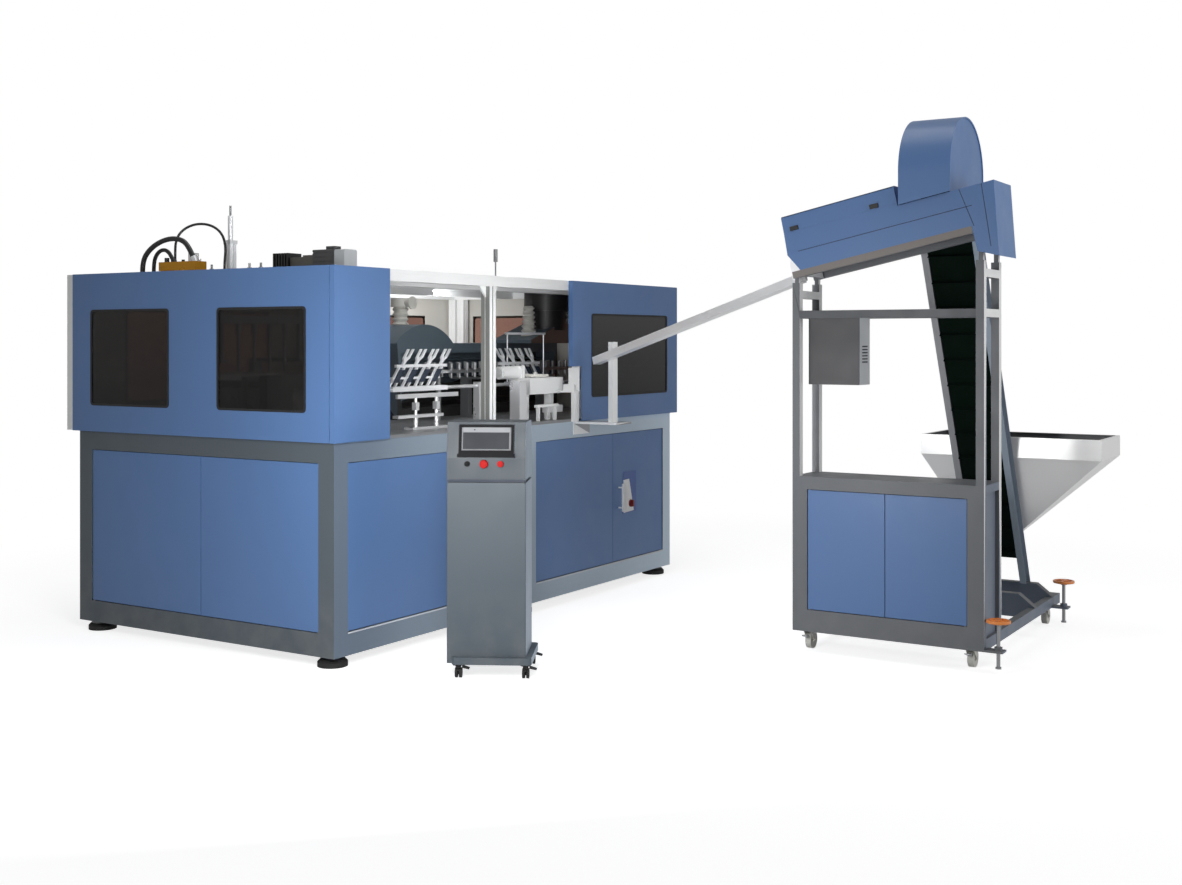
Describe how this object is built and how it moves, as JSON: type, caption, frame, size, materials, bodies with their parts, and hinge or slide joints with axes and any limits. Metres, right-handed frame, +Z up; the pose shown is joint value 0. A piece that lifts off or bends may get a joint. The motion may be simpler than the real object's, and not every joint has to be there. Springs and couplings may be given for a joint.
{
  "type": "blow moulding machine",
  "caption": "Two-stage bottle blow moulding machine: enclosed clamp, oven and gripper transfer, with a preform hopper, belt elevator, sorting head, chute and control stand.",
  "frame": {"origin": "on the floor below the middle of the whole line's bounding box", "axes": "+X to the right along the operator's side, +Y from the feeder back through the machine, +Z up"},
  "size_m": [3.47, 4.911, 2.714],
  "materials": {
    "blue_paint": "semi-gloss powder coat",
    "grey_paint": "satin powder coat",
    "feeder_grey_paint": "satin paint",
    "white_paint": "satin paint",
    "window_smoke": "dark smoked acrylic",
    "rubber_black": "matt",
    "belt_rubber": "matt, cleated",
    "plastic_black": "matt",
    "plastic_white": "matt",
    "plastic_orange": "gloss",
    "plastic_red": "gloss",
    "steel": "brushed",
    "stainless": "brushed",
    "aluminium": "machined",
    "bright_steel": "ground and polished",
    "brass": "machined",
    "motor_paint": "satin paint",
    "dark_paint": "satin paint",
    "hose_black": "smooth"
  },
  "bodies": {
    "machine": {"base_frame": "grey_paint", "table_plate": "steel", "levelling_feet": "rubber_black", "door_pivots": "steel", "guard_frame": "white_paint", "left_end_guard": "blue_paint", "left_corner_guard": "blue_paint", "right_front_guard": "blue_paint", "rear_panels": "blue_paint", "guard_windows": "window_smoke", "valve_block": "brass", "air_hose_1": "hose_black", "air_hose_2": "hose_black", "air_line": "hose_black", "stretch_cylinder": "aluminium", "top_motor": "motor_paint", "clamp_frame": "steel", "oven_housing": "grey_paint", "oven_blower": "plastic_white", "preform_chain": "steel", "transfer_rail": "bright_steel", "infeed_unit": "white_paint", "stand_body": "grey_paint", "stand_console": "grey_paint", "stand_casters": "rubber_black", "feeder_frame": "feeder_grey_paint", "feeder_casters": "plastic_white", "head_cover": "blue_paint", "arch_hood": "blue_paint", "elevator_frame": "feeder_grey_paint", "elevator_belt": "belt_rubber", "hopper": "stainless", "control_box": "dark_paint", "preform_chute": "aluminium"},
    "front_door_1": {"front_door_1": "blue_paint"},
    "front_door_2": {"front_door_2": "blue_paint"},
    "front_door_3": {"front_door_3": "blue_paint"},
    "front_door_4": {"front_door_4": "blue_paint"},
    "end_door_front": {"end_door_front": "blue_paint"},
    "end_door_rear": {"end_door_rear": "blue_paint"},
    "feeder_door_far": {"feeder_door_far": "blue_paint"},
    "feeder_door_near": {"feeder_door_near": "blue_paint"},
    "head_lid": {"head_lid": "blue_paint"},
    "mould_half_front": {"mould_half_front": "aluminium"},
    "mould_half_rear": {"mould_half_rear": "aluminium"},
    "stretch_crosshead": {"stretch_crosshead": "steel"},
    "gripper_carriage_left": {"gripper_carriage_left": "aluminium"},
    "gripper_carriage_right": {"gripper_carriage_right": "aluminium"},
    "chain_wheel": {"chain_wheel": "steel"},
    "star_wheel": {"star_wheel": "plastic_white"},
    "sorting_roller_front": {"sorting_roller_front": "bright_steel"},
    "sorting_roller_rear": {"sorting_roller_rear": "bright_steel"},
    "elevator_drum_bottom": {"elevator_drum_bottom": "steel"},
    "elevator_drum_top": {"elevator_drum_top": "steel"},
    "emergency_stop": {"emergency_stop": "plastic_red"},
    "start_button": {"start_button": "plastic_red"},
    "selector_knob": {"selector_knob": "plastic_black"},
    "main_switch_knob": {"main_switch_knob": "plastic_red"},
    "levelling_screw_near": {"levelling_screw_near": "plastic_orange"},
    "levelling_screw_far": {"levelling_screw_far": "plastic_orange"}
  },
  "joints": [
    {"name": "front_door_1_turn", "type": "hinge", "parent": "machine", "child": "front_door_1", "pos_m": [-1.5945, 0.5765, 0.585], "axis": [0, 0, -1], "range_deg": [0, 42]},
    {"name": "front_door_2_turn", "type": "hinge", "parent": "machine", "child": "front_door_2", "pos_m": [-0.0755, 0.5765, 0.585], "axis": [0, 0, 1], "range_deg": [0, 90]},
    {"name": "front_door_3_turn", "type": "hinge", "parent": "machine", "child": "front_door_3", "pos_m": [0.0495, 0.5765, 0.585], "axis": [0, 0, -1], "range_deg": [0, 90]},
    {"name": "front_door_4_turn", "type": "hinge", "parent": "machine", "child": "front_door_4", "pos_m": [1.5745, 0.5765, 0.585], "axis": [0, 0, 1], "range_deg": [0, 90]},
    {"name": "end_door_front_turn", "type": "hinge", "parent": "machine", "child": "end_door_front", "pos_m": [-1.693, 0.675, 0.585], "axis": [0, 0, 1], "range_deg": [0, 90]},
    {"name": "end_door_rear_turn", "type": "hinge", "parent": "machine", "child": "end_door_rear", "pos_m": [-1.693, 2.321, 0.585], "axis": [0, 0, -1], "range_deg": [0, 90]},
    {"name": "feeder_door_far_turn", "type": "hinge", "parent": "machine", "child": "feeder_door_far", "pos_m": [-0.101, -2.034, 0.526], "axis": [0, 0, 1], "range_deg": [0, 90]},
    {"name": "feeder_door_near_turn", "type": "hinge", "parent": "machine", "child": "feeder_door_near", "pos_m": [-0.101, -1.226, 0.526], "axis": [0, 0, -1], "range_deg": [0, 90]},
    {"name": "head_lid_turn", "type": "hinge", "parent": "machine", "child": "head_lid", "pos_m": [0.1814, -1.42921, 2.21709], "axis": [0, 0.9781, -0.2079], "range_deg": [0, 80]},
    {"name": "mould_half_front_slide", "type": "slide", "parent": "machine", "child": "mould_half_front", "axis": [0, 1, 0], "range_m": [0, 0.0598]},
    {"name": "mould_half_rear_slide", "type": "slide", "parent": "machine", "child": "mould_half_rear", "axis": [0, -1, 0], "range_m": [0, 0.0598]},
    {"name": "stretch_crosshead_slide", "type": "slide", "parent": "machine", "child": "stretch_crosshead", "axis": [0, 0, -1], "range_m": [0, 0.18]},
    {"name": "gripper_carriage_left_slide", "type": "slide", "parent": "machine", "child": "gripper_carriage_left", "axis": [1, 0, 0], "range_m": [-0.45, 0.18]},
    {"name": "gripper_carriage_right_slide", "type": "slide", "parent": "machine", "child": "gripper_carriage_right", "axis": [1, 0, 0], "range_m": [-0.18, 0.25]},
    {"name": "chain_wheel_turn", "type": "hinge", "parent": "machine", "child": "chain_wheel", "pos_m": [-0.005, 1.2545, 1.409], "axis": [0, 0, 1], "continuous": true},
    {"name": "star_wheel_turn", "type": "hinge", "parent": "machine", "child": "star_wheel", "pos_m": [0.285, 0.7345, 1.385], "axis": [0, 0, 1], "continuous": true},
    {"name": "sorting_roller_front_turn", "type": "hinge", "parent": "machine", "child": "sorting_roller_front", "pos_m": [-0.031, -1.60755, 2.14765], "axis": [0, 0.9781, -0.2079], "continuous": true},
    {"name": "sorting_roller_rear_turn", "type": "hinge", "parent": "machine", "child": "sorting_roller_rear", "pos_m": [0.081, -1.60755, 2.14765], "axis": [0, 0.9781, -0.2079], "continuous": true},
    {"name": "elevator_drum_bottom_turn", "type": "hinge", "parent": "machine", "child": "elevator_drum_bottom", "pos_m": [1.13092, -1.8375, 0.4116], "axis": [0, 1, 0], "continuous": true},
    {"name": "elevator_drum_top_turn", "type": "hinge", "parent": "machine", "child": "elevator_drum_top", "pos_m": [0.17669, -1.8375, 2.35942], "axis": [0, 1, 0], "continuous": true},
    {"name": "emergency_stop_slide", "type": "slide", "parent": "machine", "child": "emergency_stop", "axis": [0.878, 0.4787, 0], "range_m": [0, 0.004], "stiffness_N_per_m": 900},
    {"name": "start_button_slide", "type": "slide", "parent": "machine", "child": "start_button", "axis": [0.878, 0.4787, 0], "range_m": [0, 0.003], "stiffness_N_per_m": 600},
    {"name": "selector_knob_turn", "type": "hinge", "parent": "machine", "child": "selector_knob", "pos_m": [-1.47229, -0.06431, 1.014], "axis": [-0.878, -0.4787, 0], "range_deg": [-45, 45]},
    {"name": "main_switch_knob_turn", "type": "hinge", "parent": "front_door_4", "child": "main_switch_knob", "pos_m": [1.15125, 0.5645, 0.53], "axis": [0, -1, 0], "range_deg": [0, 90]},
    {"name": "levelling_screw_near_turn", "type": "hinge", "parent": "machine", "child": "levelling_screw_near", "pos_m": [-0.079, -2.1855, 0.15], "axis": [0, 0, 1], "continuous": true},
    {"name": "levelling_screw_far_turn", "type": "hinge", "parent": "machine", "child": "levelling_screw_far", "pos_m": [1.225, -2.1855, 0.15], "axis": [0, 0, 1], "continuous": true}
  ],
  "couplings": [
    {"joint": "mould_half_rear_slide", "follows": "mould_half_front_slide", "ratio": 1},
    {"joint": "sorting_roller_rear_turn", "follows": "sorting_roller_front_turn", "ratio": -1},
    {"joint": "elevator_drum_bottom_turn", "follows": "elevator_drum_top_turn", "ratio": 1}
  ]
}
